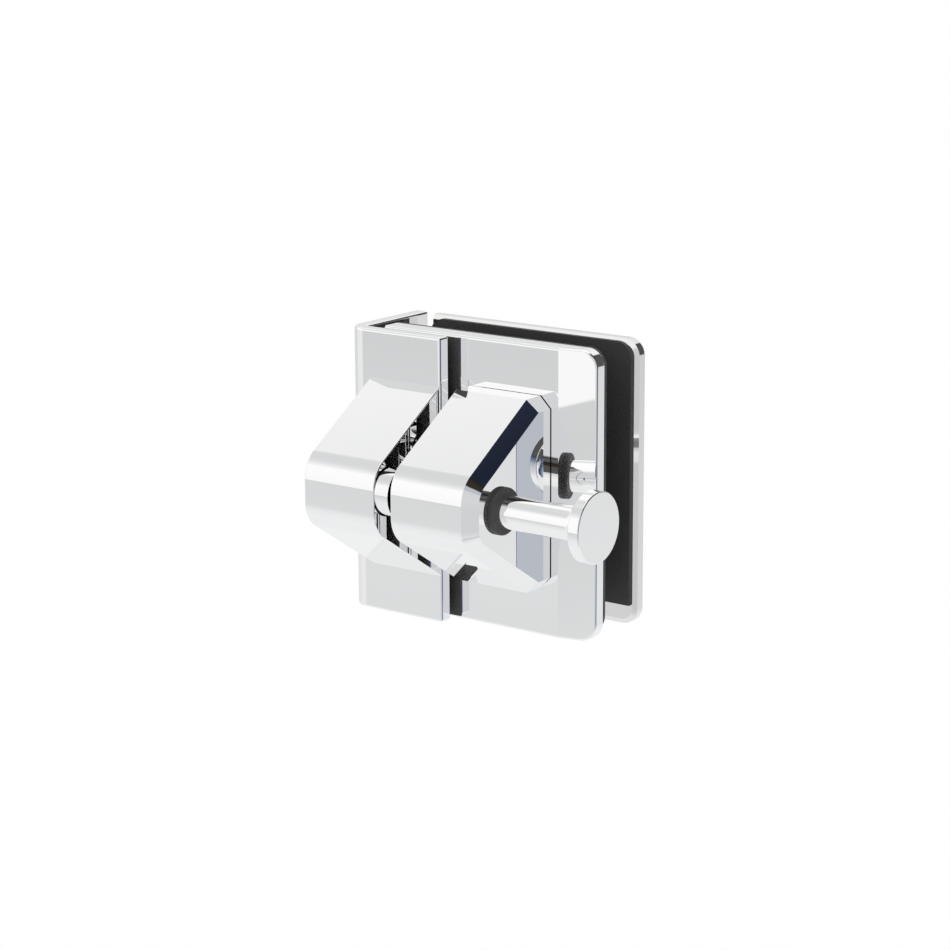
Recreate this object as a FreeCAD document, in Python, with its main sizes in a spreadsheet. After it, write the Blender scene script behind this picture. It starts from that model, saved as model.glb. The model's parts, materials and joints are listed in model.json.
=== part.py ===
import FreeCAD, Part
import math
import os
import Sketcher

# Glass gate latch, wall to glass. Millimetres.
# The origin is on the wall face, midway between the two wall fixing holes.
# X points away from the wall along the closed gate, Y points through the gate
# from the front of the latch to its back, and Z points up.

os.makedirs("parts", exist_ok=True)
doc = FreeCAD.newDocument("GateLatch")

# Driving dimensions

DIMENSIONS = {
    # wall bracket
    "plate_height": 90.0,
    "front_face": -22.0,
    "bracket_thick": 4.7,
    "bracket_reach": 36.7,
    "bracket_depth": 36.0,
    "bend_round": 6.5,
    "bend_inner": 0.6,
    "edge_round": 0.8,
    "wall_hole_rad": 3.3,
    "wall_hole_pitch": 54.0,
    "wall_sink": 2.8,
    # the two housings on the front
    "housing_half": 29.9,
    "housing_depth": 32.7,
    "nose_half": 9.0,
    "nose_round": 10.0,
    "housing_wall": 2.5,
    "rim_round": 0.4,
    "keeper_left": 9.5,
    "keeper_margin": 0.2,
    "housing_gap": 6.2,
    "latch_width": 30.0,
    "end_bevel": 3.7,
    "shadow_gap": 0.35,
    "boss_rad": 4.0,
    "boss_inset": 10.0,
    "boss_depth": 7.5,
    # bolt and knob
    "bolt_axis_depth": 17.8,
    "bolt_rad": 7.4,
    "bolt_travel": 13.0,
    "stop_gap": 0.2,
    "bolt_bevel": 5.0,
    "bolt_cup_rad": 6.5,
    "running_gap": 0.05,
    "keeper_play": 1.0,
    "wall_hole_gap": 0.5,
    "shaft_rad": 5.0,
    "spigot_rad": 3.0,
    "spigot_depth": 8.0,
    "stem_end_rad": 5.2,
    "buffer_gap": 0.05,
    "buffer_thick": 1.6,
    "buffer_rad": 7.2,
    "buffer_round": 0.6,
    "knob_reach": 34.5,
    "knob_rad": 10.7,
    "knob_thick": 3.8,
    "neck_share": 0.82,
    "bush_rad": 6.6,
    "flange_rad": 7.8,
    "flange_thick": 1.0,
    "washer_thick": 0.5,
    "wire_rad": 0.4,
    "spring_rad": 5.8,
    "spring_turns": 7.0,
    "pin_rad": 1.0,
    "pin_stand": 1.5,
    "pin_root": 2.0,
    "pin_margin": 0.35,
    "cup_margin": 0.8,
    "guide_spare": 1.2,
    "block_gap": 0.15,
    "socket_length": 12.0,
    "socket_spare": 2.0,
    # gate clamp
    "plate_setback": 7.4,
    "front_thick": 6.6,
    "clamp_left": 9.5,
    "crease_out": 2.7,
    "facet_run": 12.3,
    "facet_drop": 2.5,
    "plate_corner": 5.5,
    "front_pad_thick": 0.9,
    "glass_slot": 15.8,
    "rear_pad_thick": 1.5,
    "rear_thick": 4.1,
    "rear_bevel": 1.5,
    "rear_bevel_depth": 0.6,
    "pad_inset": 1.8,
    "pad_inset_top": 0.85,
    "pad_inset_low": 6.5,
    "pad_corner": 5.2,
    "front_pad_low": 2.0,
    "strip_out": 1.9,
    "strip_lap": 8.0,
    "strip_thick": 0.5,
    "strip_inset": 0.8,
    "clamp_x": 44.0,
    "clamp_inset": 15.0,
    "clamp_rad": 3.0,
    "clamp_head_rad": 5.8,
    "clamp_head": 2.8,
    "clamp_bite": 5.5,
    "sleeve_rad": 4.8,
    "sleeve_bore_gap": 0.3,
    "screw_rad": 2.5,
    "screw_head_rad": 4.7,
    "screw_head": 2.2,
    "screw_bite": 6.5,
    "hex_share": 0.55,
    "sink_gap": 0.15,
}

sheet = doc.addObject("Spreadsheet::Sheet", "Sizes")
for row, (alias, number) in enumerate(DIMENSIONS.items(), start=1):
    sheet.set(f"A{row}", alias)
    sheet.set(f"B{row}", str(number))
    sheet.setAlias(f"B{row}", alias)
doc.recompute()


class Size:
    """A length together with the expression that ties it to the sheet."""

    def __init__(self, value, text):
        self.value = value
        self.text = text

    def combine(self, other, sign, value):
        return Size(value, f"({self.text} {sign} {other.text})")

    def __add__(self, other):
        other = as_size(other)
        return self.combine(other, "+", self.value + other.value)

    def __sub__(self, other):
        other = as_size(other)
        return self.combine(other, "-", self.value - other.value)

    def __mul__(self, other):
        other = as_size(other)
        return self.combine(other, "*", self.value * other.value)

    def __truediv__(self, other):
        other = as_size(other)
        return self.combine(other, "/", self.value / other.value)

    def __neg__(self):
        return Size(-self.value, f"(0 - {self.text})")


def as_size(number):
    if isinstance(number, Size):
        return number
    return Size(float(number), f"{float(number):.6f}")


def root(size):
    return Size(math.sqrt(size.value), f"sqrt({size.text})")


class Sheet:
    """Each alias of the sheet as a Size."""

    def __getattr__(self, alias):
        return Size(float(sheet.get(alias)), f"Sizes.{alias}")


S = Sheet()
NOTHING = as_size(0)


def bind(target, prop, size):
    target.setExpression(prop, as_size(size).text)


# Building blocks

ORIGIN_PLANE = {"X": "YZ_Plane", "Y": "XZ_Plane", "Z": "XY_Plane"}


def new_body(label):
    made = doc.addObject("PartDesign::Body", label)
    made.Label = label
    made.AllowCompound = True
    return made


def new_sketch(body, name, axis, level):
    """A sketch square to the axis, at the given level along it."""
    sketch = body.newObject("Sketcher::SketchObject", name)
    role = ORIGIN_PLANE[axis]
    plane = [f for f in body.Origin.OriginFeatures if f.Role == role][0]
    sketch.AttachmentSupport = [(plane, "")]
    sketch.MapMode = "FlatFace"
    # the XZ plane looks towards -Y, so its offset runs the other way
    offset = -as_size(level) if axis == "Y" else as_size(level)
    bind(sketch, ".AttachmentOffset.Base.z", offset)
    return sketch


def hold_point(sketch, geometry, end, place):
    """Holds one point at its two signed distances from the origin."""
    for kind, size in (("DistanceX", place[0]), ("DistanceY", place[1])):
        size = as_size(size)
        rule = Sketcher.Constraint(kind, -1, 1, geometry, end, size.value)
        index = sketch.addConstraint(rule)
        sketch.setExpression(f"Constraints[{index}]", size.text)


def draw_outline(sketch, corners):
    """Straight sides through the corners, each corner held by its place."""
    points = [FreeCAD.Vector(as_size(u).value, as_size(v).value, 0) for u, v in corners]
    first = sketch.GeometryCount
    for number, point in enumerate(points):
        following = points[(number + 1) % len(points)]
        sketch.addGeometry(Part.LineSegment(point, following), False)
    for number in range(len(points)):
        after = first + (number + 1) % len(points)
        joint = Sketcher.Constraint("Coincident", first + number, 2, after, 1)
        sketch.addConstraint(joint)
        hold_point(sketch, first + number, 1, corners[number])


def draw_circle(sketch, centre, radius):
    radius = as_size(radius)
    middle = FreeCAD.Vector(as_size(centre[0]).value, as_size(centre[1]).value, 0)
    circle = Part.Circle(middle, FreeCAD.Vector(0, 0, 1), radius.value)
    number = sketch.addGeometry(circle, False)
    hold_point(sketch, number, 3, centre)
    index = sketch.addConstraint(Sketcher.Constraint("Radius", number, radius.value))
    sketch.setExpression(f"Constraints[{index}]", radius.text)


def extrude(body, name, axis, low, high, corners=None, circles=(), cut=False):
    """Adds or cuts a prism along the axis between the two levels."""
    # a pad leaves its sketch along the plane's normal and a pocket against it
    from_high = cut != (axis == "Y")
    sketch = new_sketch(body, name + "_outline", axis, high if from_high else low)
    if corners:
        draw_outline(sketch, corners)
    for centre, radius in circles:
        draw_circle(sketch, centre, radius)
    kind = "PartDesign::Pocket" if cut else "PartDesign::Pad"
    feature = body.newObject(kind, name)
    feature.Profile = sketch
    feature.Length = (as_size(high) - as_size(low)).value
    bind(feature, "Length", as_size(high) - as_size(low))
    sketch.Visibility = False
    doc.recompute()
    return feature


def turn(body, name, level, corners, cut=False):
    """Revolves an outline in the XY plane about the line parallel to X at the level."""
    sketch = new_sketch(body, name + "_outline", "Z", NOTHING)
    bind(sketch, ".AttachmentOffset.Base.y", as_size(level))
    draw_outline(sketch, corners)
    kind = "PartDesign::Groove" if cut else "PartDesign::Revolution"
    feature = body.newObject(kind, name)
    feature.Profile = sketch
    feature.ReferenceAxis = (sketch, ["H_Axis"])
    feature.Angle = 360.0
    sketch.Visibility = False
    doc.recompute()
    return feature


def dress(body, name, kind, picked, size, second=None):
    """Rounds or bevels the edges of the tip that the test picks."""
    tip = body.Tip
    names = [f"Edge{i}" for i, e in enumerate(tip.Shape.Edges, start=1) if picked(e)]
    if not names:
        raise ValueError(f"{name} has no edges to dress")
    feature = body.newObject(f"PartDesign::{kind}", name)
    feature.Base = (tip, names)
    if kind == "Fillet":
        feature.Radius = size.value
        bind(feature, "Radius", size)
    else:
        feature.Size = size.value
        bind(feature, "Size", size)
    if second is not None:
        feature.ChamferType = "Two distances"
        feature.Size2 = second.value
        bind(feature, "Size2", second)
    doc.recompute()
    return feature


SMALL = 0.01


def near(value, size):
    return abs(value - as_size(size).value) < SMALL


def flat_at(edge, axis, level):
    """True if the whole edge lies at the level along the axis."""
    low = getattr(edge.BoundBox, axis + "Min")
    high = getattr(edge.BoundBox, axis + "Max")
    return near(low, level) and near(high, level)


def runs_along(edge, axis):
    """True if the edge is a straight line along the axis."""
    spans = {a: getattr(edge.BoundBox, a + "Length") for a in "XYZ"}
    return spans.pop(axis) > SMALL and max(spans.values()) < SMALL


def mirrored(place):
    """The same place above and below the middle."""
    across, height = place
    return [(across, height), (across, -as_size(height))]


# Places along X, counted from the wall

top = S.plate_height / 2
wall_side = NOTHING
bracket_end = S.bracket_reach
keeper_right = bracket_end - S.keeper_margin
latch_left = keeper_right + S.housing_gap
latch_right = latch_left + S.latch_width
crease_x = latch_right + S.crease_out
clamp_right = crease_x + S.facet_run

# Places along Y, counted from the front of the wall bracket

front = S.front_face
bracket_back = front + S.bracket_thick
flange_end = front + S.bracket_depth
plate_front = front + S.plate_setback
plate_back = plate_front + S.front_thick
front_pad_back = plate_back + S.front_pad_thick
rear_pad_front = front_pad_back + S.glass_slot
rear_plate_front = rear_pad_front + S.rear_pad_thick
rear_plate_back = rear_plate_front + S.rear_thick
nose_front = front - S.housing_depth
bolt_axis = front - S.bolt_axis_depth

# Heights of the screws, measured in from the ends they hold

boss_height = S.housing_half - S.boss_inset
clamp_height = top - S.clamp_inset

# Places of the bolt and its parts along X

latch_inner_left = latch_left + S.housing_wall
latch_inner_right = latch_right - S.housing_wall
keeper_inner_left = S.keeper_left + S.housing_wall
keeper_inner_right = keeper_right - S.housing_wall
flange_face = latch_inner_right - S.flange_thick
washer_face = flange_face - S.washer_thick
guide_left = latch_inner_left + S.block_gap
pin_x = guide_left + S.pin_margin + S.pin_rad
guide_right = pin_x + S.pin_rad + S.bolt_travel + S.guide_spare
cup_floor = pin_x + S.pin_rad + S.cup_margin
# pulled back, the bolt's nose is level with the latch housing's face
bolt_tip = latch_left - S.bolt_travel
bolt_back = washer_face - S.stop_gap - S.bolt_travel
buffer_left = latch_right + S.buffer_gap
buffer_right = buffer_left + S.buffer_thick
knob_face = latch_right + S.knob_reach
knob_back = knob_face - S.knob_thick


# Outlines of the housings, square to X

slope_long = root(S.housing_depth * S.housing_depth
                  + (S.housing_half - S.nose_half) * (S.housing_half - S.nose_half))
slope_fall = (S.housing_half - S.nose_half) / S.housing_depth


def slope_height(depth, inset):
    """Height of the sloping wall, moved inward by the inset, at a depth in front."""
    return S.housing_half - slope_fall * as_size(depth) - as_size(inset) * slope_long / S.housing_depth


def housing_outline(inset, back):
    """The housing's outline moved inward, from its flat nose to the back."""
    inset = as_size(inset)
    roof = S.housing_half - inset
    knee = (S.housing_half - roof - inset * slope_long / S.housing_depth) / slope_fall
    nose = nose_front + inset
    half = slope_height(S.housing_depth - inset, inset)
    upper = [(back, roof)]
    if not near((back - front + knee).value, NOTHING):
        upper.append((front - knee, roof))
    upper.append((nose, half))
    lower = [(y, -z) for y, z in reversed(upper)]
    return upper + lower


# Screws and their holes

def countersunk_pair(label, x, height, face, grip, radius, head_rad, head, toward):
    """Two countersunk screws along Y with a hexagon socket, heads flush with the face."""
    pieces = []
    for mark, level in (("upper", height), ("lower", -as_size(height))):
        cone = doc.addObject("Part::Cone", f"{label}_{mark}_head")
        bind(cone, "Radius1", head_rad)
        bind(cone, "Radius2", radius)
        bind(cone, "Height", head)
        shank = doc.addObject("Part::Cylinder", f"{label}_{mark}_shank")
        bind(shank, "Radius", radius)
        bind(shank, "Height", grip)
        socket = doc.addObject("Part::Prism", f"{label}_{mark}_socket")
        socket.Polygon = 6
        bind(socket, "Circumradius", as_size(head_rad) * S.hex_share)
        bind(socket, "Height", head)
        for shape in (cone, shank, socket):
            shape.Placement.Rotation = FreeCAD.Rotation(FreeCAD.Vector(1, 0, 0), toward)
            bind(shape, ".Placement.Base.x", x)
            bind(shape, ".Placement.Base.y", face)
            bind(shape, ".Placement.Base.z", level)
        joined = doc.addObject("Part::Fuse", f"{label}_{mark}_blank")
        joined.Base = cone
        joined.Tool = shank
        screw = doc.addObject("Part::Cut", f"{label}_{mark}")
        screw.Base = joined
        screw.Tool = socket
        pieces.append(screw)
    group = doc.addObject("Part::Compound", label)
    group.Links = pieces
    group.Label = label
    return group


TOWARD_FRONT = 90.0


def screw_holes(body, name, low, high, x, height, radius, face=None, sink=None):
    """Two holes along Y, countersunk at the face where one is given."""
    places = [(place, radius) for place in mirrored((x, height))]
    extrude(body, name, "Y", low, high, circles=places, cut=True)
    if face is None:
        return

    def rim(edge):
        round_edge = isinstance(edge.Curve, Part.Circle)
        return round_edge and near(edge.Curve.Radius, radius) and flat_at(edge, "Y", face)

    dress(body, name + "_sink", "Chamfer", rim, sink)


# Wall bracket: one plate bent round the corner of the wall

bracket = new_body("wall_bracket")
extrude(bracket, "bent_plate", "Z", -top, top, [
    (wall_side, front),
    (bracket_end, front),
    (bracket_end, bracket_back),
    (S.bracket_thick, bracket_back),
    (S.bracket_thick, flange_end),
    (wall_side, flange_end),
])
dress(bracket, "outer_bend", "Fillet",
      lambda e: runs_along(e, "Z") and flat_at(e, "X", wall_side) and flat_at(e, "Y", front),
      S.bend_round)
dress(bracket, "inner_bend", "Fillet",
      lambda e: runs_along(e, "Z") and flat_at(e, "X", S.bracket_thick)
      and flat_at(e, "Y", bracket_back),
      S.bend_inner)


keeper_mid = (keeper_inner_left + keeper_inner_right) / 2
screw_hole = S.screw_rad + S.sink_gap * 2
screw_sink = S.screw_head_rad + S.sink_gap - screw_hole
screw_holes(bracket, "housing_holes", front, bracket_back, keeper_mid, boss_height,
            screw_hole, bracket_back, screw_sink)

wall_holes = [(place, S.wall_hole_rad) for place in mirrored((0, S.wall_hole_pitch / 2))]
extrude(bracket, "wall_holes", "X", wall_side, S.bracket_thick, circles=wall_holes, cut=True)
dress(bracket, "wall_holes_sink", "Chamfer",
      lambda e: isinstance(e.Curve, Part.Circle) and near(e.Curve.Radius, S.wall_hole_rad)
      and flat_at(e, "X", S.bracket_thick),
      S.wall_sink)


def bracket_rim(edge):
    """Every edge of the bent plate but the seams of its two bends."""
    level = flat_at(edge, "Z", top) or flat_at(edge, "Z", -top)
    end = flat_at(edge, "X", bracket_end) or flat_at(edge, "Y", flange_end)
    return level or end


dress(bracket, "rims", "Fillet", bracket_rim, S.edge_round)


# Housings: hollow castings, open at the back, with two screw bosses each

def build_housing(label, left, right, back):
    """A nose-shaped casting between two levels along X, not yet hollow."""
    shell = new_body(label)
    extrude(shell, "casting", "X", left, right, housing_outline(NOTHING, back))
    dress(shell, "nose_rounds", "Fillet",
          lambda e: runs_along(e, "X") and flat_at(e, "Y", nose_front),
          S.nose_round)
    return shell


def hollow_housing(shell, inner_left, inner_right, back, boss_back, boss_x):
    """Cuts the cavity from the back and puts the two screw bosses in it."""
    extrude(shell, "cavity", "X", inner_left, inner_right,
            housing_outline(S.housing_wall, back + S.housing_wall), cut=True)
    bosses = [(place, S.boss_rad) for place in mirrored((boss_x, boss_height))]
    extrude(shell, "bosses", "Y", front - S.boss_depth, boss_back, circles=bosses)
    screw_holes(shell, "boss_holes", boss_back - S.screw_bite, boss_back,
                boss_x, boss_height, S.screw_rad)


def bolt_hole(shell, low, high, radius):
    """A round hole through an end wall on the bolt's axis."""
    extrude(shell, "bolt_hole", "X", low, high, circles=[((bolt_axis, 0), radius)], cut=True)


keeper = build_housing("keeper_housing", S.keeper_left, keeper_right, front)
dress(keeper, "rims", "Fillet",
      lambda e: (flat_at(e, "X", keeper_right) or flat_at(e, "X", S.keeper_left))
      and not flat_at(e, "Y", front),
      S.rim_round)
hollow_housing(keeper, keeper_inner_left, keeper_inner_right, front, front, keeper_mid)
keeper_bore = S.bolt_rad + S.keeper_play
bolt_hole(keeper, keeper_inner_right, keeper_right, keeper_bore)

latch_mid = (latch_inner_left + latch_inner_right) / 2
latch_back = plate_front - S.shadow_gap
latch = build_housing("latch_housing", latch_left, latch_right, latch_back)


def end_outline(level):
    return lambda e: flat_at(e, "X", level) and not flat_at(e, "Y", latch_back)


dress(latch, "end_bevel", "Chamfer", end_outline(latch_right), S.end_bevel)
dress(latch, "left_rim", "Fillet", end_outline(latch_left), S.rim_round)
hollow_housing(latch, latch_inner_left, latch_inner_right, latch_back, plate_front, latch_mid)
bolt_hole(latch, latch_left, latch_inner_left, S.bolt_rad + S.wall_hole_gap)
extrude(latch, "bush_hole", "X", latch_inner_right, latch_right,
        circles=[((bolt_axis, 0), S.bush_rad)], cut=True)


# Moulded blocks inside the housings, held between the nose walls and the boss ends

block_back = front - S.boss_depth
block_inset = S.housing_wall + S.block_gap


def block_outline():
    """The cavity's outline less the fitting gap, cut off flat at the boss ends."""
    shoulder = slope_height(S.boss_depth, block_inset)
    half = slope_height(S.housing_depth - block_inset, block_inset)
    nose = nose_front + block_inset
    return [(block_back, shoulder), (nose, half), (nose, -half), (block_back, -shoulder)]


socket_left = keeper_inner_right - S.socket_length
socket = new_body("keeper_socket")
extrude(socket, "block", "X", socket_left, keeper_inner_right - S.block_gap, block_outline())
extrude(socket, "bolt_bore", "X", bolt_tip - S.socket_spare, keeper_inner_right,
        circles=[((bolt_axis, 0), keeper_bore)], cut=True)

guide = new_body("bolt_guide")
extrude(guide, "block", "X", guide_left, guide_right, block_outline())
extrude(guide, "bolt_bore", "X", guide_left, guide_right,
        circles=[((bolt_axis, 0), S.bolt_rad + S.running_gap)], cut=True)
slot_half = S.pin_rad + S.running_gap * 2
slot_depth = S.bolt_rad + S.pin_stand + S.sink_gap * 2
extrude(guide, "pin_slot", "X", guide_left, guide_right, [
    (bolt_axis, -slot_half),
    (bolt_axis + slot_depth, -slot_half),
    (bolt_axis + slot_depth, slot_half),
    (bolt_axis, slot_half),
], cut=True)


# Bolt, sliding along X, with a bevelled nose and a cup behind for the spring

bolt = new_body("bolt")
extrude(bolt, "bar", "X", bolt_tip, bolt_back, circles=[((bolt_axis, 0), S.bolt_rad)])
extrude(bolt, "spring_cup", "X", cup_floor, bolt_back,
        circles=[((bolt_axis, 0), S.bolt_cup_rad)], cut=True)
extrude(bolt, "shaft_thread", "X", cup_floor - S.spigot_depth, cup_floor,
        circles=[((bolt_axis, 0), S.spigot_rad)], cut=True)
extrude(bolt, "pin_hole", "Y", bolt_axis + S.bolt_rad - S.pin_root, bolt_axis + S.bolt_rad,
        circles=[((pin_x, 0), S.pin_rad)], cut=True)
beyond = S.bolt_rad * 1.5
extrude(bolt, "nose_bevel", "Z", -beyond, beyond, [
    (bolt_tip, bolt_axis),
    (bolt_tip + S.bolt_bevel, bolt_axis - S.bolt_rad),
    (bolt_tip + S.bolt_bevel, bolt_axis - beyond),
    (bolt_tip - S.bolt_bevel, bolt_axis - beyond),
    (bolt_tip - S.bolt_bevel, bolt_axis),
], cut=True)

pin = new_body("guide_pin")
extrude(pin, "pin", "Y", bolt_axis + S.bolt_rad - S.pin_root, bolt_axis + S.bolt_rad + S.pin_stand,
        circles=[((pin_x, 0), S.pin_rad)])


# Shaft, bush, washer and knob, all turned about the bolt's axis

def turned(label, corners):
    """A turned piece from corners given as places along X and radii."""
    piece = new_body(label)
    turn(piece, "turned", bolt_axis, corners)
    return piece


thread_end = buffer_right + S.spigot_depth * 1.5
shaft = turned("knob_shaft", [
    (cup_floor - S.spigot_depth, NOTHING),
    (thread_end, NOTHING),
    (thread_end, S.spigot_rad),
    (buffer_right, S.spigot_rad),
    (buffer_right, S.shaft_rad),
    (cup_floor, S.shaft_rad),
    (cup_floor, S.spigot_rad),
    (cup_floor - S.spigot_depth, S.spigot_rad),
])

shaft_bore = S.shaft_rad + S.running_gap
bush = turned("shaft_bush", [
    (flange_face, shaft_bore),
    (latch_right, shaft_bore),
    (latch_right, S.bush_rad),
    (latch_inner_right, S.bush_rad),
    (latch_inner_right, S.flange_rad),
    (flange_face, S.flange_rad),
])

washer = turned("spring_washer", [
    (washer_face, shaft_bore + S.sink_gap * 2),
    (flange_face, shaft_bore + S.sink_gap * 2),
    (flange_face, S.flange_rad),
    (washer_face, S.flange_rad),
])

buffer_ring = turned("knob_buffer", [
    (buffer_left, S.shaft_rad),
    (buffer_right, S.shaft_rad),
    (buffer_right, S.buffer_rad),
    (buffer_left, S.buffer_rad),
])
dress(buffer_ring, "outer_rim", "Fillet",
      lambda e: isinstance(e.Curve, Part.Circle) and near(e.Curve.Radius, S.buffer_rad)
      and flat_at(e, "X", buffer_right),
      S.buffer_round)

knob = turned("knob", [
    (buffer_right, S.spigot_rad),
    (thread_end, S.spigot_rad),
    (thread_end, NOTHING),
    (knob_face, NOTHING),
    (knob_face, S.knob_rad),
    (knob_back, S.knob_rad),
    (knob_back, S.stem_end_rad),
    (buffer_right, S.shaft_rad),
])
dress(knob, "neck", "Fillet",
      lambda e: isinstance(e.Curve, Part.Circle) and near(e.Curve.Radius, S.stem_end_rad)
      and flat_at(e, "X", knob_back),
      (S.knob_rad - S.stem_end_rad) * S.neck_share)
dress(knob, "head_rims", "Fillet",
      lambda e: isinstance(e.Curve, Part.Circle) and near(e.Curve.Radius, S.knob_rad),
      S.rim_round)


# Return spring between the bolt's cup and the washer

spring_start = cup_floor + S.wire_rad
spring_end = washer_face - S.wire_rad
coil_line = doc.addObject("Part::Helix", "spring_line")
bind(coil_line, "Radius", S.spring_rad)
bind(coil_line, "Height", spring_end - spring_start)
bind(coil_line, "Pitch", (spring_end - spring_start) / S.spring_turns)
coil_line.Placement.Rotation = FreeCAD.Rotation(FreeCAD.Vector(0, 1, 0), 90)
wire = doc.addObject("Part::Circle", "spring_wire")
bind(wire, "Radius", S.wire_rad)
wire.Placement.Rotation = FreeCAD.Rotation(FreeCAD.Vector(1, 0, 0), -90)
for curve, height in ((coil_line, NOTHING), (wire, -S.spring_rad)):
    bind(curve, ".Placement.Base.x", spring_start)
    bind(curve, ".Placement.Base.y", bolt_axis)
    bind(curve, ".Placement.Base.z", height)
doc.recompute()
spring = doc.addObject("Part::Sweep", "bolt_spring")
spring.Label = "bolt_spring"
spring.Sections = [wire]
spring.Spine = (coil_line, [f"Edge{i}" for i in range(1, len(coil_line.Shape.Edges) + 1)])
spring.Solid = True
spring.Frenet = True


# Gate clamp: front plate with a facet leaning back at its free end

front_plate = new_body("gate_front_plate")
extrude(front_plate, "plate", "Z", -top, top, [
    (S.clamp_left, plate_front),
    (crease_x, plate_front),
    (clamp_right, plate_front + S.facet_drop),
    (clamp_right, plate_back),
    (S.clamp_left, plate_back),
])


def free_corner(edge):
    """The two short edges at the corners away from the wall."""
    level = flat_at(edge, "Z", top) or flat_at(edge, "Z", -top)
    return level and flat_at(edge, "X", clamp_right)


dress(front_plate, "corner_rounds", "Fillet", free_corner, S.plate_corner)


def seen_rim(edge):
    """The outer edges of the flat front face and of the facet."""
    box = edge.BoundBox
    if box.YMax > (plate_front + S.facet_drop).value + SMALL:
        return False
    crease = runs_along(edge, "Z") and flat_at(edge, "X", crease_x)
    left = flat_at(edge, "X", S.clamp_left)
    return not crease and not left


dress(front_plate, "front_rim", "Fillet", seen_rim, S.edge_round)
dress(front_plate, "back_rim", "Fillet",
      lambda e: flat_at(e, "Y", plate_back) and not flat_at(e, "X", S.clamp_left),
      S.rim_round)
screw_holes(front_plate, "housing_holes", plate_front, plate_back, latch_mid, boss_height,
            screw_hole, plate_back, screw_sink)
screw_holes(front_plate, "clamp_threads", plate_back - S.clamp_bite, plate_back,
            S.clamp_x, clamp_height, S.clamp_rad)


def build_pad(label, low, high, left, right, lower, upper, rounded, corner):
    """A flat rubber sheet against a clamp plate, with holes for the clamp sleeves."""
    pad = new_body(label)
    extrude(pad, "sheet", "Y", low, high, [
        (left, lower),
        (right, lower),
        (right, upper),
        (left, upper),
    ])
    dress(pad, "corner_rounds", "Fillet", lambda e: runs_along(e, "Y") and rounded(e), corner)
    sleeve_hole = S.sleeve_rad + S.sink_gap * 2
    screw_holes(pad, "sleeve_holes", low, high, S.clamp_x, clamp_height, sleeve_hole)


# the front pad leaves its plate bare at the foot, the rear pad also at the top and the end
build_pad("front_gasket", plate_back, front_pad_back,
          S.clamp_left, clamp_right, -top + S.front_pad_low, top,
          lambda e: flat_at(e, "X", clamp_right), S.plate_corner)
rear_pad_top = top - S.pad_inset_top
build_pad("rear_gasket", rear_pad_front, rear_plate_front,
          S.clamp_left, clamp_right - S.pad_inset,
          -top + S.pad_inset_low, rear_pad_top,
          lambda e: flat_at(e, "Z", rear_pad_top), S.pad_corner)

rear_plate = new_body("gate_rear_plate")
extrude(rear_plate, "plate", "Y", rear_plate_front, rear_plate_back, [
    (S.clamp_left, -top),
    (clamp_right, -top),
    (clamp_right, top),
    (S.clamp_left, top),
])
dress(rear_plate, "corner_rounds", "Fillet",
      lambda e: runs_along(e, "Y") and flat_at(e, "X", clamp_right), S.plate_corner)
dress(rear_plate, "front_bevel", "Chamfer",
      lambda e: flat_at(e, "Y", rear_plate_front) and not flat_at(e, "X", S.clamp_left),
      S.rear_bevel, S.rear_bevel_depth)
rear_face = max((f for f in rear_plate.Tip.Shape.Faces
                 if near(f.BoundBox.YMax, rear_plate_front)), key=lambda f: f.Area)
if abs(rear_face.BoundBox.XMax - (clamp_right - S.rear_bevel).value) > SMALL:
    rear_plate.Tip.FlipDirection = not rear_plate.Tip.FlipDirection
    doc.recompute()
dress(rear_plate, "rear_rim", "Fillet",
      lambda e: flat_at(e, "Y", rear_plate_back) and not flat_at(e, "X", S.clamp_left),
      S.edge_round)
clamp_hole = S.clamp_rad + S.sink_gap * 2
screw_holes(rear_plate, "clamp_holes", rear_plate_front, rear_plate_back,
            S.clamp_x, clamp_height, clamp_hole,
            rear_plate_back, S.clamp_head_rad + S.sink_gap - clamp_hole)


# Sleeves that keep the clamp screws off the glass

sleeves = new_body("clamp_sleeves")
extrude(sleeves, "tubes", "Y", plate_back, rear_plate_front,
        circles=[(place, S.sleeve_rad) for place in mirrored((S.clamp_x, clamp_height))])
screw_holes(sleeves, "bores", plate_back, rear_plate_front, S.clamp_x, clamp_height,
            S.clamp_rad + S.sleeve_bore_gap)


# Rubber strip on the gate plate, between it and the bracket's front leg

strip = new_body("closing_buffer")
strip_left = bracket_end - S.strip_lap
strip_right = bracket_end + S.strip_out
extrude(strip, "strip", "Z", -top + S.strip_inset, top - S.strip_inset, [
    (strip_left, plate_front - S.strip_thick),
    (strip_right, plate_front - S.strip_thick),
    (strip_right, plate_front),
    (strip_left, plate_front),
])


# Fasteners

countersunk_pair("keeper_screws", keeper_mid, boss_height, bracket_back,
                 S.bracket_thick + S.screw_bite - S.sink_gap, S.screw_rad, S.screw_head_rad,
                 S.screw_head, TOWARD_FRONT)
countersunk_pair("latch_screws", latch_mid, boss_height, plate_back,
                 S.front_thick + S.screw_bite - S.sink_gap, S.screw_rad, S.screw_head_rad,
                 S.screw_head, TOWARD_FRONT)
countersunk_pair("clamp_screws", S.clamp_x, clamp_height, rear_plate_back,
                 rear_plate_back - plate_back + S.clamp_bite - S.sink_gap, S.clamp_rad,
                 S.clamp_head_rad, S.clamp_head, TOWARD_FRONT)

doc.recompute()


# Checks and export

NODES = [
    "wall_bracket", "keeper_housing", "keeper_socket", "keeper_screws",
    "gate_front_plate", "front_gasket", "gate_rear_plate", "rear_gasket",
    "clamp_screws", "clamp_sleeves", "closing_buffer", "latch_housing",
    "latch_screws", "bolt_guide", "shaft_bush", "spring_washer",
    "bolt", "guide_pin", "knob_shaft", "knob_buffer", "knob", "bolt_spring",
]

for item in doc.Objects:
    if "Invalid" in item.State or "Error" in item.State:
        raise RuntimeError(f"{item.Label} did not recompute")

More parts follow.
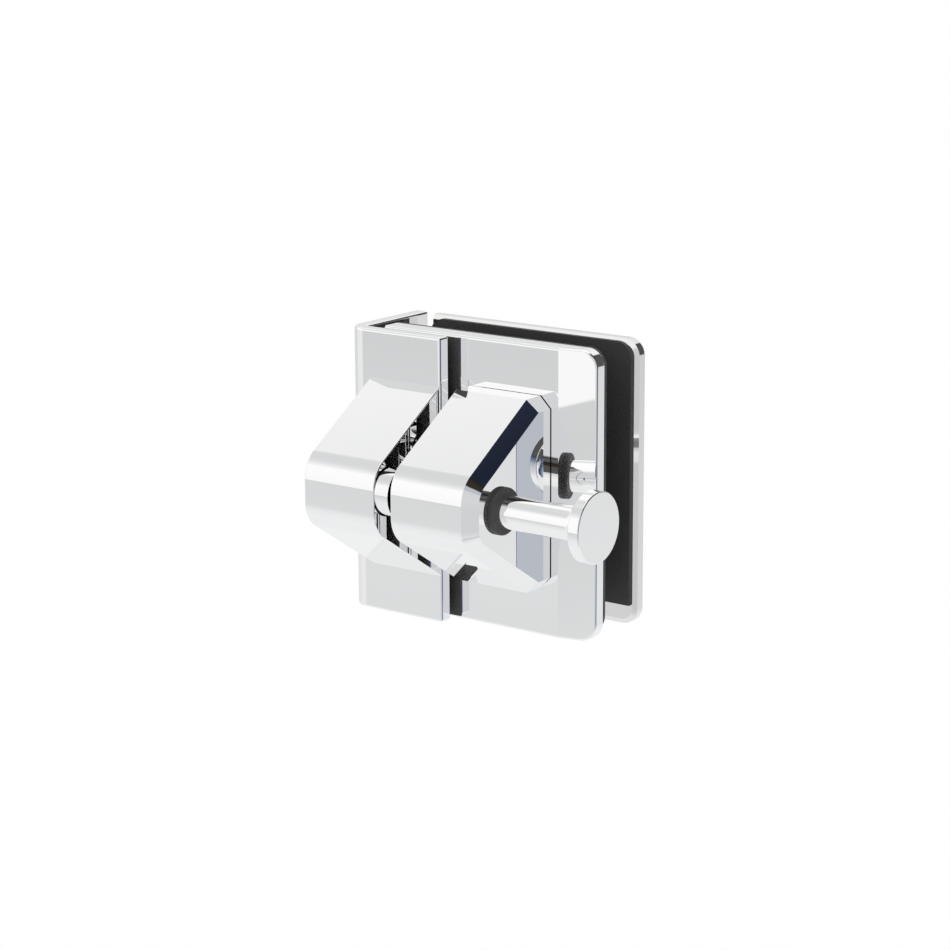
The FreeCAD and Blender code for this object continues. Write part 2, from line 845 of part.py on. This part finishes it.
for node in NODES:
    piece = doc.getObjectsByLabel(node)[0]
    if piece.Shape.isNull() or not piece.Shape.isValid():
        raise RuntimeError(f"{node} has no valid shape")
    piece.Shape.exportStep(f"parts/{node}.step")
    box = piece.Shape.BoundBox
    print(f"{node}: {len(piece.Shape.Solids)} solids, {piece.Shape.Volume:.0f} mm3, "
          f"X {box.XMin:.2f} to {box.XMax:.2f}, Y {box.YMin:.2f} to {box.YMax:.2f}, "
          f"Z {box.ZMin:.2f} to {box.ZMax:.2f}")
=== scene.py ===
import json
import math

import bpy
from mathutils import Matrix, Vector


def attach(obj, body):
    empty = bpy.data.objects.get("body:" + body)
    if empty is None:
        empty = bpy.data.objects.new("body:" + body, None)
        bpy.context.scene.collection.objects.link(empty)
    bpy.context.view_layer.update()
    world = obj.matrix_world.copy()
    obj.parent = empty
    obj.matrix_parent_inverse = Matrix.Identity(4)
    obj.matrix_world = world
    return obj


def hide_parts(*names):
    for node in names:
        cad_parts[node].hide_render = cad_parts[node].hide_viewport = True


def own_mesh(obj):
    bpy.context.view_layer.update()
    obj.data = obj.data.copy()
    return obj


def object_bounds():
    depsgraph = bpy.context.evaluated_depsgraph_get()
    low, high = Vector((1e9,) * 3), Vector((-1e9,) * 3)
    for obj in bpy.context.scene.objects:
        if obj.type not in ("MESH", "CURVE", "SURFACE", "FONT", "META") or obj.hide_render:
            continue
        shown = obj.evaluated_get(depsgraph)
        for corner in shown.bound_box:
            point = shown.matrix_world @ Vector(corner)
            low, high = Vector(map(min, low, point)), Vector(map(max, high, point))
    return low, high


# Glass gate latch: polished metal and black rubber in a pale studio. Metres.

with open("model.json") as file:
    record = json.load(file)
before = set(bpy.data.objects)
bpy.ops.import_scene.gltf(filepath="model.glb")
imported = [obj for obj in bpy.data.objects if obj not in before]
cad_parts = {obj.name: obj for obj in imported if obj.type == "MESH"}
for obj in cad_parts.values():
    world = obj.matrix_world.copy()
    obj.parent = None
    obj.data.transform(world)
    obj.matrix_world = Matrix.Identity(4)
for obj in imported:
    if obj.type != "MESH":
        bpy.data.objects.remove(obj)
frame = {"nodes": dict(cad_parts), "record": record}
cad_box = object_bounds()

RIGHT = (1, 0, 0)
LEFT = (-1, 0, 0)
BACK = (0, 1, 0)
FRONT = (0, -1, 0)
UP = (0, 0, 1)


# Camera, at the photograph's viewing angle

AIM = Vector((0.049789, -0.022, 0.004171))
DISTANCE = 0.79984
HEADING = math.radians(36.669)
PITCH = math.radians(13.546)
ROLL = math.radians(-0.297)
FOCAL_PIXELS = 2629.61
PHOTO_PIXELS = 950
SENSOR = 36.0
NEAR_CLIP = 0.01


def add_camera():
    """The camera looks at AIM from the front right, a little from above."""
    data = bpy.data.cameras.new("camera")
    data.sensor_width = SENSOR
    data.lens = FOCAL_PIXELS * SENSOR / PHOTO_PIXELS
    data.clip_start = NEAR_CLIP
    camera = bpy.data.objects.new("camera", data)
    bpy.context.collection.objects.link(camera)
    look = Vector((-math.sin(HEADING) * math.cos(PITCH),
                   math.cos(HEADING) * math.cos(PITCH),
                   -math.sin(PITCH)))
    turn = look.to_track_quat("-Z", "Y").to_matrix() @ Matrix.Rotation(ROLL, 3, "Z")
    camera.matrix_world = Matrix.Translation(AIM - look * DISTANCE) @ turn.to_4x4()
    bpy.context.scene.camera = camera


# Shader helpers

def new_tree(owner):
    owner.use_nodes = True
    tree = owner.node_tree
    tree.nodes.clear()
    return tree


def place(value, socket, tree):
    """Gives an input a number or a colour, or links it to an output."""
    if isinstance(value, bpy.types.NodeSocket):
        tree.links.new(value, socket)
    else:
        socket.default_value = value


def math_node(tree, operation, first, second):
    node = tree.nodes.new("ShaderNodeMath")
    node.operation = operation
    place(first, node.inputs[0], tree)
    place(second, node.inputs[1], tree)
    return node.outputs[0]


def map_range(tree, value, low, high, to_low=0.0, to_high=1.0, smooth=False):
    node = tree.nodes.new("ShaderNodeMapRange")
    node.interpolation_type = "SMOOTHSTEP" if smooth else "LINEAR"
    place(value, node.inputs["Value"], tree)
    node.inputs["From Min"].default_value = low
    node.inputs["From Max"].default_value = high
    node.inputs["To Min"].default_value = to_low
    node.inputs["To Max"].default_value = to_high
    return node.outputs["Result"]


def mix_colour(tree, factor, first, second):
    node = tree.nodes.new("ShaderNodeMix")
    node.data_type = "RGBA"
    place(factor, node.inputs["Factor"], tree)
    place(first, node.inputs[6], tree)
    place(second, node.inputs[7], tree)
    return node.outputs[2]


def noise(tree, scale, detail=2.0):
    """Noise over the part's own space, with the scale in features per metre."""
    where = tree.nodes.new("ShaderNodeTexCoord")
    node = tree.nodes.new("ShaderNodeTexNoise")
    node.inputs["Scale"].default_value = scale
    node.inputs["Detail"].default_value = detail
    tree.links.new(where.outputs["Object"], node.inputs["Vector"])
    return node.outputs["Fac"]


def bump(tree, height, strength, depth):
    node = tree.nodes.new("ShaderNodeBump")
    node.inputs["Strength"].default_value = strength
    node.inputs["Distance"].default_value = depth
    tree.links.new(height, node.inputs["Height"])
    return node.outputs["Normal"]


def grey(value):
    return (value, value, value, 1.0)


def finish_material(tree, shader):
    output = tree.nodes.new("ShaderNodeOutputMaterial")
    tree.links.new(shader, output.inputs["Surface"])


# Materials

# the part of a noise's range that most of a surface lies in
NOISE_LOW = 0.3
NOISE_HIGH = 0.7


def surface(name, colours, colour_noise, roughness, roughness_noise,
            metallic=0.0, specular=0.5, relief_noise=None, relief=None):
    """A material whose colour and roughness wander between two values each.

    A noise is given by its scale and detail, and the relief by its strength and depth.
    """
    material = bpy.data.materials.new(name)
    tree = new_tree(material)
    shader = tree.nodes.new("ShaderNodeBsdfPrincipled")
    shader.inputs["Metallic"].default_value = metallic
    shader.inputs["Specular IOR Level"].default_value = specular
    place(mix_colour(tree, noise(tree, *colour_noise), *colours),
          shader.inputs["Base Color"], tree)
    place(map_range(tree, noise(tree, *roughness_noise), NOISE_LOW, NOISE_HIGH, *roughness),
          shader.inputs["Roughness"], tree)
    if relief:
        place(bump(tree, noise(tree, *relief_noise), *relief), shader.inputs["Normal"], tree)
    finish_material(tree, shader.outputs["BSDF"])
    return material


def polished_metal():
    """Mirror-polished metal, with a faint cloudiness left by the polishing wheel."""
    return surface("polished_metal", metallic=1.0,
                   colours=(grey(0.98), grey(0.99)), colour_noise=(90.0, 3.0),
                   roughness=(0.003, 0.007), roughness_noise=(260.0, 4.0))


def plated_metal():
    """The rear plate's duller and slightly warmer plating."""
    return surface("plated_metal", metallic=1.0,
                   colours=((0.87, 0.86, 0.85, 1), (0.89, 0.88, 0.87, 1)),
                   colour_noise=(90.0, 3.0),
                   roughness=(0.03, 0.06), roughness_noise=(260.0, 4.0))


def black_rubber():
    """Black sheet rubber with a fine grain and a dusty, uneven surface."""
    return surface("black_rubber", specular=0.35,
                   colours=(grey(0.040), grey(0.056)), colour_noise=(140.0, 4.0),
                   roughness=(0.40, 0.58), roughness_noise=(900.0, 3.0),
                   relief=(0.35, 0.0002), relief_noise=(3200.0, 3.0))


def black_nylon():
    """Moulded black plastic with a light satin."""
    return surface("black_nylon",
                   colours=(grey(0.02), grey(0.035)), colour_noise=(300.0, 3.0),
                   roughness=(0.38, 0.5), roughness_noise=(700.0, 2.0),
                   relief=(0.15, 0.0001), relief_noise=(2000.0, 2.0))


def plain_steel():
    """Turned and tumbled steel, as on screws and springs."""
    return surface("plain_steel", metallic=1.0,
                   colours=((0.62, 0.62, 0.63, 1), (0.72, 0.72, 0.73, 1)),
                   colour_noise=(400.0, 3.0),
                   roughness=(0.18, 0.34), roughness_noise=(1500.0, 3.0),
                   relief=(0.1, 0.00005), relief_noise=(2500.0, 2.0))


MAKERS = {
    "polished_steel": polished_metal,
    "black_rubber": black_rubber,
    "black_nylon": black_nylon,
    "plain_steel": plain_steel,
}


def give_material(node, material):
    mesh = frame["nodes"][node].data
    mesh.materials.clear()
    mesh.materials.append(material)


def dress_nodes():
    """Each node gets the material of its slot in the record, and the rear plate its own."""
    made = {slot: maker() for slot, maker in MAKERS.items()}
    for entry in frame["record"]["subparts"]:
        give_material(entry["node"], made[entry["material_slot"]])
    give_material("gate_rear_plate", plated_metal())


# The spring, between the bolt and the washer, as a copy that the bolt unit carries

def shorten_spring():
    """A copy of the spring's mesh, whose end sits in the bolt's cup, carried by the bolt unit
    in the original's place.
    """
    node = frame["nodes"]["bolt_spring"]
    spring = bpy.data.objects.new("return_spring", node.data.copy())
    bpy.context.collection.objects.link(spring)
    spring.matrix_world = node.matrix_world
    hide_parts("bolt_spring")
    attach(spring, "bolt_unit")
    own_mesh(spring)


# Studio: what the polished metal mirrors, by direction

# the share of the light that the metal gives back
METAL_SHARE = 0.985
# what a grey gets in red, green and blue, in levels
COOL_CAST = (-0.6, 0.0, 0.9)
FULL_LEVEL = 255


def as_light(part):
    """A picture's level, as a share of the full one, turned to light by the sRGB curve."""
    return part / 12.92 if part < 0.04045 else ((part + 0.055) / 1.055) ** 2.4


def shown(*levels):
    """The studio's light for a mirrored grey or colour, given in a picture's levels."""
    if len(levels) == 1:
        levels = [levels[0] + cast for cast in COOL_CAST]
    parts = [min(level, FULL_LEVEL) / FULL_LEVEL for level in levels]
    return tuple(as_light(part) / METAL_SHARE for part in parts) + (1.0,)


def along(tree, direction, axis):
    """How far the direction leans to the axis."""
    dot = tree.nodes.new("ShaderNodeVectorMath")
    dot.operation = "DOT_PRODUCT"
    tree.links.new(direction, dot.inputs[0])
    dot.inputs[1].default_value = Vector(axis)
    return dot.outputs["Value"]


def past(tree, direction, axis, edge, softness):
    """1 where the direction leans to the axis by more than the edge, else 0."""
    return map_range(tree, along(tree, direction, axis), edge - softness, edge + softness,
                     smooth=True)


def both(tree, *masks):
    """The product of several masks."""
    result = masks[0]
    for mask in masks[1:]:
        result = math_node(tree, "MULTIPLY", result, mask)
    return result


def ramp(tree, value, stops):
    """Colours by a value between -1 and 1."""
    node = tree.nodes.new("ShaderNodeValToRGB")
    place(map_range(tree, value, -1.0, 1.0), node.inputs["Fac"], tree)
    elements = node.color_ramp.elements
    while len(elements) < len(stops):
        elements.new(0.5)
    for element, (where, colour) in zip(elements, stops):
        element.position = (where + 1) / 2
        element.color = colour
    return node.outputs["Color"]


# in front: pale floor and a grey band, by tilted height up to the panel's lower edge
FRONT_TILT = 0.22
FLOOR_STOPS = [
    (-0.65, shown(237)),
    (-0.454, shown(234)),
    (-0.379, shown(231.5)),
    (-0.272, shown(227)),
    (-0.20, shown(220)),
    (-0.146, shown(217)),
    (-0.105, shown(220)),
    (-0.074, shown(214.5)),
    (-0.04, shown(211)),
    (-0.016, shown(208)),
    (0.02, shown(211)),
]
# the white panel above that edge, and the grey ceiling
PANEL_STOPS = [
    (0.000, shown(247.5, 247.5, 248)),
    (0.12, shown(250, 250, 250)),
    (0.50, shown(252, 252, 252)),
    (0.61, shown(252, 252, 252)),
    (0.651, shown(243, 243, 243)),
    (0.717, shown(229)),
    (0.774, shown(217)),
    (0.83, shown(214)),
    (0.88, shown(235)),
    (0.93, shown(255, 255, 255)),
]
PANEL_SOFTNESS = 0.0006
# the panel's lower edge rises a little at its right end
EDGE_RISE = (-0.201, -0.180, 0.001, 0.0071)
# in front and to the right: pale floor and a grey wall, by height
RIGHT_STOPS = [
    (-0.92, shown(232)),
    (-0.80, shown(228.5)),
    (-0.72, shown(225.5)),
    (-0.60, shown(221.5)),
    (-0.479, shown(215.5)),
    (-0.42, shown(211.5)),
    (-0.33, shown(207, 208, 210)),
    (-0.276, shown(206, 207, 209.5)),
    (-0.19, shown(208, 209, 212)),
    (-0.06, shown(210, 211, 213)),
    (0.13, shown(212, 213, 215)),
    (0.42, shown(208, 209, 211)),
    (0.60, shown(212, 213, 215)),
    (0.88, shown(225)),
    (0.93, shown(255, 255, 255)),
]
# behind: pale floor, a paler wall and a white ceiling, by height
BACK_STOPS = [
    (-0.906, shown(234.5)),
    (-0.574, shown(239.5)),
    (-0.45, shown(234)),
    (-0.35, shown(230)),
    (-0.28, shown(226.5)),
    (-0.242, shown(222.5)),
    (-0.208, shown(217.5)),
    (-0.17, shown(214)),
    (0.05, shown(216)),
    (0.175, shown(224)),
    (0.232, shown(225)),
    (0.45, shown(236)),
    (0.60, shown(242)),
    (0.66, shown(253, 253, 253)),
    (0.80, shown(255, 255, 255)),
]
# dark room to the right and behind, by height
DARK_STOPS = [
    (0.15, shown(82, 82, 83)),
    (0.55, shown(80, 79, 76)),
    (0.62, shown(50, 46, 42)),
    (0.71, shown(52, 49, 39)),
    (0.745, shown(40, 38, 42)),
    (0.763, shown(33, 34, 42)),
    (0.7755, shown(30, 36, 51)),
    (0.7793, shown(37, 43, 59)),
    (0.786, shown(39, 45, 61)),
    (0.80, shown(79, 77, 70)),
    (0.85, shown(95, 95, 100)),
    (0.93, shown(103, 105, 108)),
]
# the dark room's lower edge, from the pale floor up
DUSK_AXIS = (0.2436, -0.3724, 0.896)
DUSK_STOPS = [
    (-0.31, shown(215, 216, 218)),
    (-0.26, shown(205, 207, 210)),
    (-0.173, shown(191, 195, 202)),
    (-0.086, shown(164, 173, 189)),
    (0.0, shown(118, 127, 149)),
    (0.061, shown(90, 102, 131)),
    (0.12, shown(61, 72, 97)),
]
# the side of the dark room that ends in a narrow cool strip
SIDE_AXIS = (0.476, 0.867, -0.153)

FAR_LEFT_FLOOR = shown(232)
COOL_STRIP = shown(183, 187, 196)

# borders in the room: an axis, how far a direction leans to it there, and the softness
FAR_LEFT = (LEFT, 0.645, 0.006)
TO_THE_RIGHT = (RIGHT, 0.05, 0.06)
TO_THE_BACK = ((0, 1, -0.27), -0.09, 0.16)
STRIP_SIDE = (SIDE_AXIS, -0.045, 0.012)
STRIP_FOOT = (DUSK_AXIS, 0.06, 0.05)
STRIP_BACK = (FRONT, 0.1, 0.1)
DARK_SIDE = (SIDE_AXIS, 0.035, 0.012)
DARK_LEFT = (RIGHT, 0.15, 0.03)
DARK_FOOT = (DUSK_AXIS, -0.31, 0.03)
DARK_FOOT_BEHIND = (DUSK_AXIS, -0.21, 0.02)
DUSK_TOP = (DUSK_AXIS, 0.145, 0.025)
FAR_BEHIND = (BACK, 0.68, 0.05)
OVERHEAD = (UP, 0.68, 0.12)
OVERHEAD_LEFT = (RIGHT, 0.375, 0.125)


def pale_room(tree, direction):
    """The pale floor, the white panel in front, and the walls to the right and behind."""
    height = along(tree, direction, UP)
    lifted = math_node(tree, "SUBTRACT", along(tree, direction, (0, -FRONT_TILT, 1)),
                       map_range(tree, along(tree, direction, RIGHT), *EDGE_RISE))
    # the far left of the floor is pale up to the panel
    ground = mix_colour(tree, past(tree, direction, *FAR_LEFT),
                        ramp(tree, lifted, FLOOR_STOPS), FAR_LEFT_FLOOR)
    panel = map_range(tree, lifted, -PANEL_SOFTNESS, PANEL_SOFTNESS)
    ahead = mix_colour(tree, panel, ground, ramp(tree, lifted, PANEL_STOPS))
    ahead = mix_colour(tree, past(tree, direction, *TO_THE_RIGHT), ahead,
                       ramp(tree, height, RIGHT_STOPS))
    return mix_colour(tree, past(tree, direction, *TO_THE_BACK), ahead,
                      ramp(tree, height, BACK_STOPS))


def add_strip(tree, direction, colour):
    """A narrow cool strip beside the dark room, but not behind the part."""
    strip = both(tree, past(tree, direction, *STRIP_SIDE), past(tree, direction, *STRIP_FOOT),
                 past(tree, direction, *STRIP_BACK))
    return mix_colour(tree, strip, colour, COOL_STRIP)


def add_dark_room(tree, direction, colour):
    """A dark room to the right, behind and overhead, which fades into the pale floor."""
    behind = past(tree, direction, *FAR_BEHIND)
    foot = mix_colour(tree, behind, past(tree, direction, *DARK_FOOT),
                      past(tree, direction, *DARK_FOOT_BEHIND))
    inside = both(tree, past(tree, direction, *DARK_SIDE), foot,
                  past(tree, direction, *DARK_LEFT))
    overhead = both(tree, past(tree, direction, *OVERHEAD),
                    past(tree, direction, *OVERHEAD_LEFT))
    unlit = math_node(tree, "MAXIMUM", behind, past(tree, direction, *DUSK_TOP))
    dark = mix_colour(tree, unlit,
                      ramp(tree, along(tree, direction, DUSK_AXIS), DUSK_STOPS),
                      ramp(tree, along(tree, direction, UP), DARK_STOPS))
    return mix_colour(tree, math_node(tree, "MAXIMUM", inside, overhead), colour, dark)


def build_world():
    """White for the camera, and a pale studio with one dark side for what is mirrored."""
    world = bpy.data.worlds.new("studio")
    bpy.context.scene.world = world
    tree = new_tree(world)
    direction = tree.nodes.new("ShaderNodeTexCoord").outputs["Generated"]
    colour = pale_room(tree, direction)
    colour = add_strip(tree, direction, colour)
    colour = add_dark_room(tree, direction, colour)
    mirrored = tree.nodes.new("ShaderNodeLightPath").outputs["Is Glossy Ray"]
    colour = mix_colour(tree, mirrored, grey(1.0), colour)
    background = tree.nodes.new("ShaderNodeBackground")
    tree.links.new(colour, background.inputs["Color"])
    output = tree.nodes.new("ShaderNodeOutputWorld")
    tree.links.new(background.outputs["Background"], output.inputs["Surface"])


FLOOR_DROP = 0.45
FLOOR_HALF = 6.0
FLOOR_COLOURS = (grey(0.998), grey(1.0))
FLOOR_NOISE = 3.0


def build_floor():
    """A plain pale floor well below the latch, which hangs on a wall or post."""
    height = cad_box[0][2] - FLOOR_DROP
    corners = [(-FLOOR_HALF, -FLOOR_HALF, height), (FLOOR_HALF, -FLOOR_HALF, height),
               (FLOOR_HALF, FLOOR_HALF, height), (-FLOOR_HALF, FLOOR_HALF, height)]
    mesh = bpy.data.meshes.new("floor")
    mesh.from_pydata(corners, [], [(0, 1, 2, 3)])
    floor = bpy.data.objects.new("floor", mesh)
    bpy.context.collection.objects.link(floor)
    material = bpy.data.materials.new("pale_floor")
    tree = new_tree(material)
    lit = tree.nodes.new("ShaderNodeBsdfDiffuse")
    place(mix_colour(tree, noise(tree, FLOOR_NOISE), *FLOOR_COLOURS), lit.inputs["Color"], tree)
    finish_material(tree, lit.outputs["BSDF"])
    mesh.materials.append(material)
    floor.visible_glossy = False


add_camera()
dress_nodes()
shorten_spring()
build_world()
build_floor()

scene = bpy.context.scene
scene.view_settings.view_transform = "Standard"
# the two housings mirror each other many times across their gap
MOST_BOUNCES = 24
MIRROR_BOUNCES = 16
scene.cycles.max_bounces = MOST_BOUNCES
scene.cycles.glossy_bounces = MIRROR_BOUNCES
